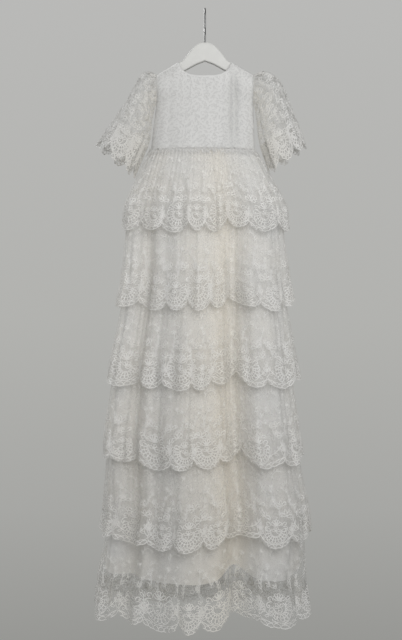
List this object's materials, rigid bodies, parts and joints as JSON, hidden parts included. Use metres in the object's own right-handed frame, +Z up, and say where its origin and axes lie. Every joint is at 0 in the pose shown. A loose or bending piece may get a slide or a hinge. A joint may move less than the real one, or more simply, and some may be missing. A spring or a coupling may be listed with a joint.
{
  "type": "christening gown on a hanger",
  "caption": "Long christening gown of tiered scalloped lace over a white underskirt, with short flared lace sleeves, hung on a small white hanger by its hook.",
  "frame": {"origin": "inside top of the hook, where it rests on a rail", "axes": "+Z up, the front of the gown faces -Y, +X to the right of someone looking at the front"},
  "size_m": [0.4519, 0.2594, 1.2786],
  "materials": {
    "hanger_paint": "satin white paint",
    "hook_wire": "plated wire",
    "bodice_lace": "fine embroidered lace on a white lining",
    "sheer_lace": "sheer ivory lace on fine net",
    "lining": "smooth white lining cloth",
    "button_pearl": "pearly"
  },
  "bodies": {
    "root": {"hanger_body": "hanger_paint", "hanger_hook": "hook_wire", "bodice_front": "bodice_lace", "bodice_back_left": "bodice_lace", "bodice_back_right": "bodice_lace", "sleeve_left": "sheer_lace", "sleeve_right": "sheer_lace", "underskirt": "lining", "lace_tier_1": "sheer_lace", "lace_tier_2": "sheer_lace", "lace_tier_3": "sheer_lace", "lace_tier_4": "sheer_lace", "lace_tier_5": "sheer_lace", "lace_tier_6": "sheer_lace", "button_1": "button_pearl", "button_2": "button_pearl", "button_3": "button_pearl", "button_4": "button_pearl"}
  },
  "joints": []
}
